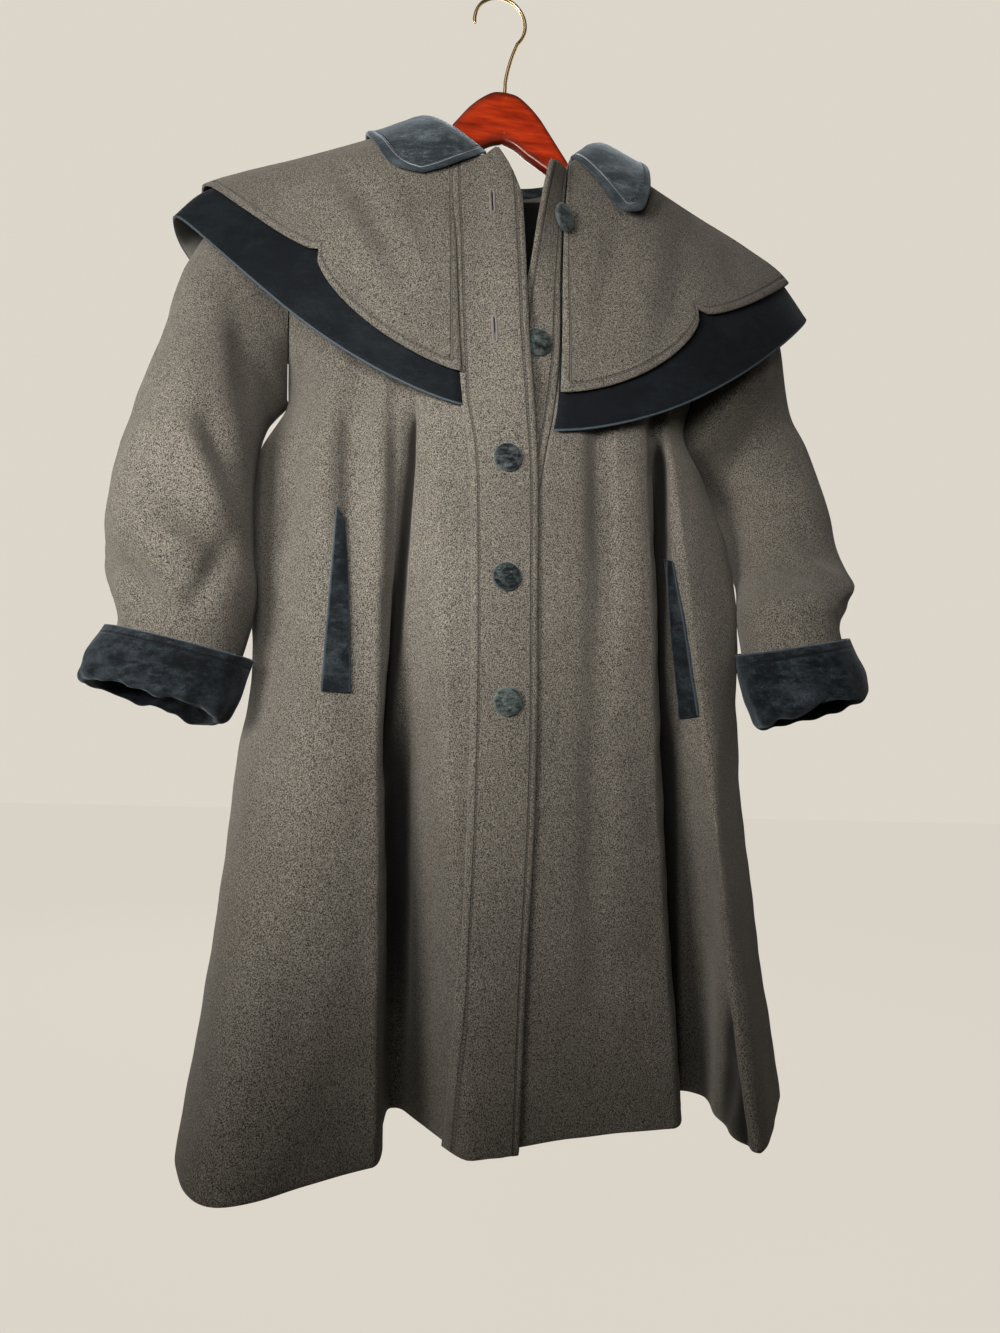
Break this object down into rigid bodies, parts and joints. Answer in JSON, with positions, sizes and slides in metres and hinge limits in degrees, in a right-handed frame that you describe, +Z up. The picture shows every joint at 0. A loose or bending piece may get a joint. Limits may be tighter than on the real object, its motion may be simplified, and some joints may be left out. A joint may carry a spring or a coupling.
{
  "type": "cape coat",
  "caption": "Flared wool coat with a scalloped shoulder cape over a velvet cape, velvet collar, cuffs and pocket welts, buttoned front, hanging on a wooden hanger.",
  "frame": {"origin": "inside the top of the hook's loop, where a rail carries it", "axes": "+Z up, +X towards the wearer's left, -Y out of the coat's front"},
  "size_m": [0.7106, 0.3592, 1.0827],
  "materials": {
    "wool": "heathered charcoal wool, felted and matt",
    "velvet": "dark navy cotton velvet, paler where it is rubbed",
    "wood": "cherry red lacquer",
    "brass": "brassed wire, polished"
  },
  "bodies": {
    "root": {"back": "wool", "button_1": "velvet", "button_2": "velvet", "button_3": "velvet", "button_4": "velvet", "button_5": "velvet", "cape_velvet": "velvet", "cape_wool": "wool", "collar": "velvet", "cuff_left": "velvet", "cuff_right": "velvet", "front_left": "wool", "front_right": "wool", "hanger_hook": "brass", "hanger_wood": "wood", "placket_right": "wool", "sleeve_left": "wool", "sleeve_right": "wool", "underlap_left": "wool", "welt_left": "velvet", "welt_right": "velvet"}
  },
  "joints": []
}
